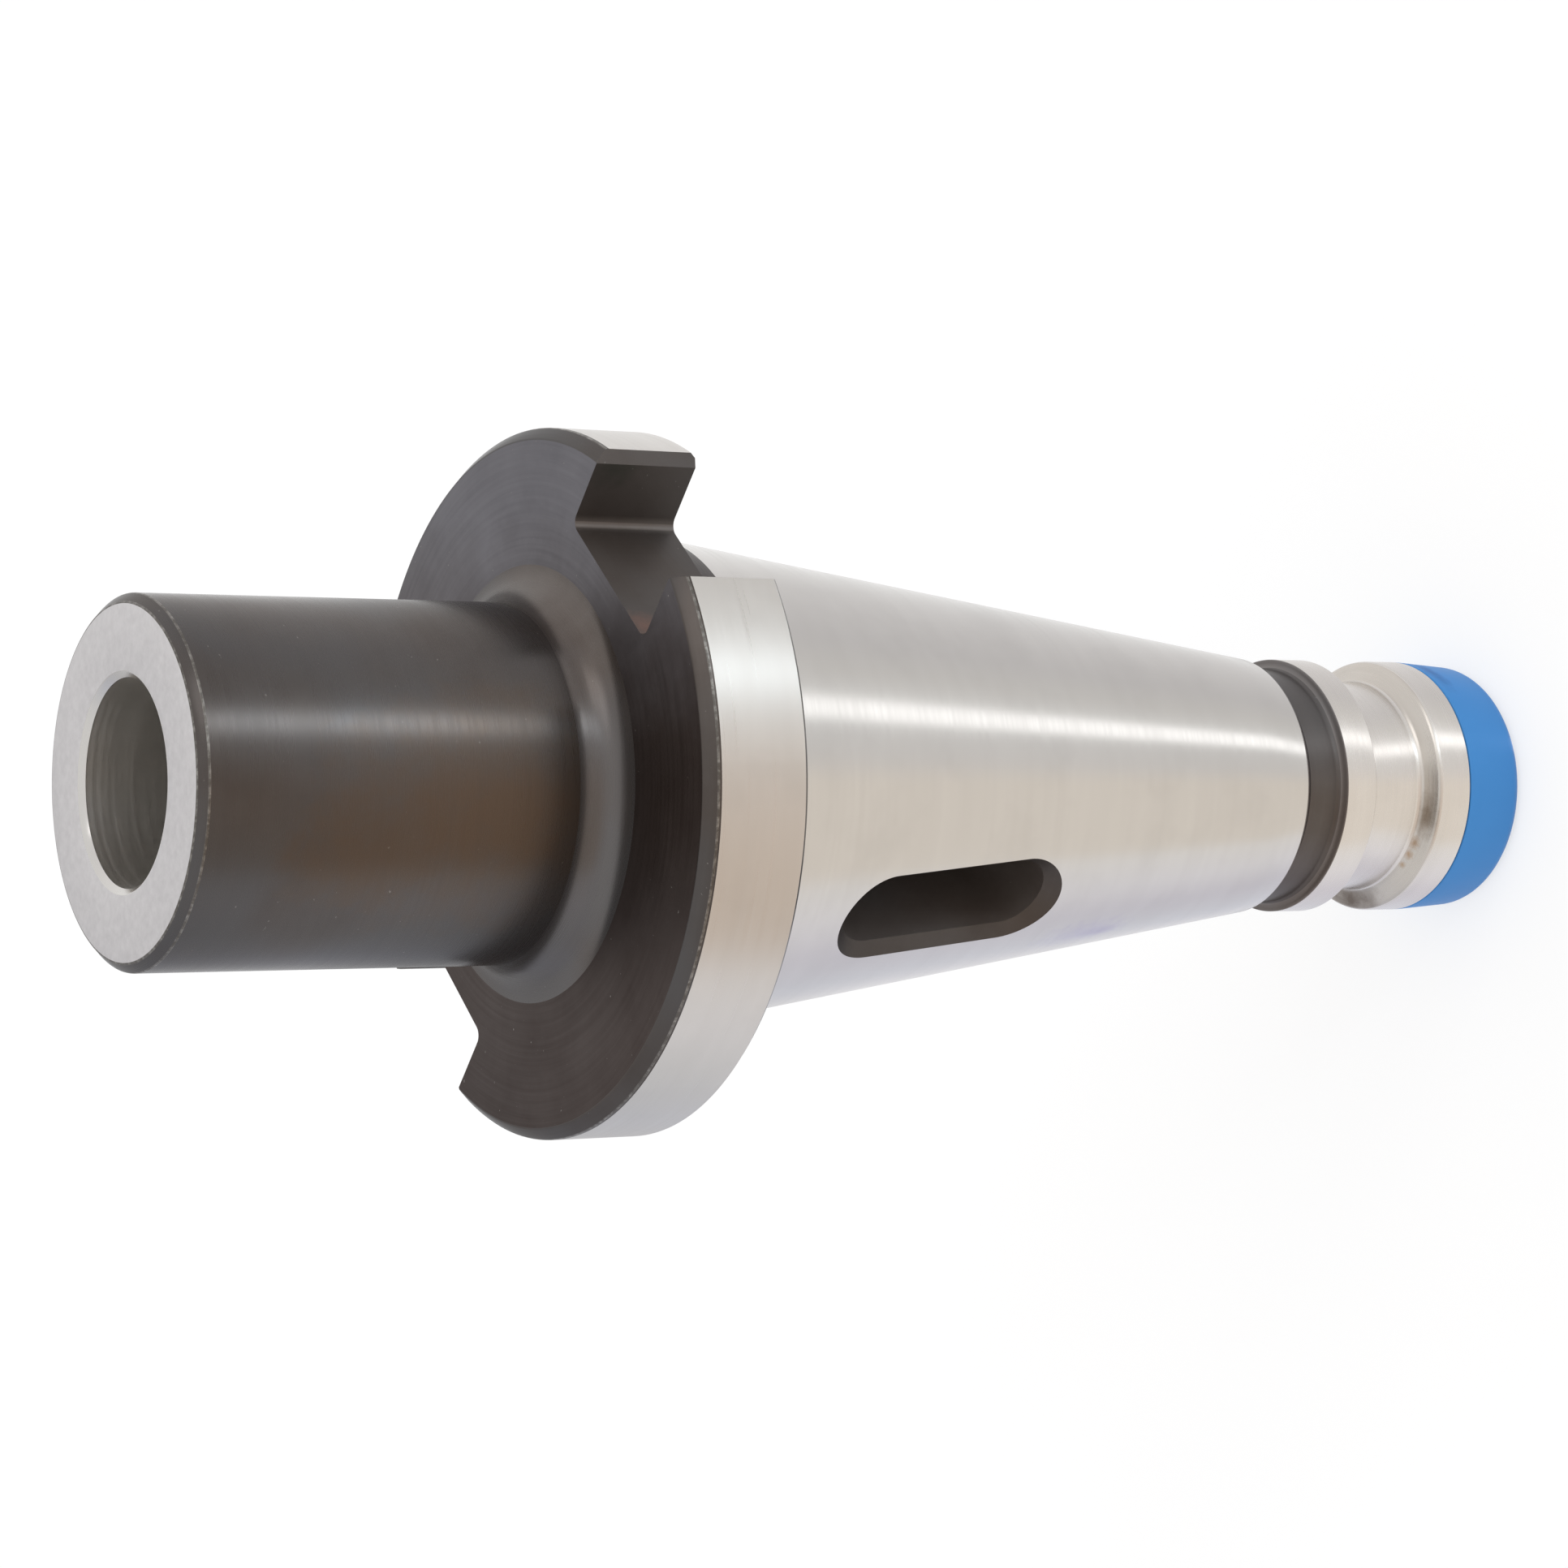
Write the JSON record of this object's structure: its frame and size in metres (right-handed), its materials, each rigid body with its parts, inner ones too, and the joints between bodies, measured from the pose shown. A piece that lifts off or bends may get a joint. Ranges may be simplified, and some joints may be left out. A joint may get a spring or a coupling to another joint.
{
  "type": "reducing sleeve",
  "caption": "Steep-taper shank with a slotted drive flange and a plain nose bored to a smaller self-holding taper, a drift slot, a ring-groove tail and a push-in cap.",
  "frame": {"origin": "middle of the flat end of the plastic cap in the tail, which the sleeve stands on", "axes": "+Z along the tool's axis from the tail to the nose, +X through the middle of one drive slot of the flange"},
  "size_m": [0.0604, 0.063, 0.1441],
  "materials": {
    "ground_steel": "ground and hardened steel with fine marks round the axis, on the taper, the flange's rim, the socket, the lip, the ring groove and the collar",
    "black_oxide": "satin black oxide on turned steel, on the nose, the flange's faces, the drive slots, the drift slot and the end groove",
    "blue_plastic": "smooth moulded plastic, light blue"
  },
  "bodies": {
    "cap": {"thread_cap": "blue_plastic"},
    "sleeve": {"sleeve_body": "ground_steel"}
  },
  "joints": [
    {"name": "cap_pull", "type": "slide", "parent": "cap", "child": "sleeve", "axis": [0, 0, 1], "range_m": [0, 0.022]}
  ]
}
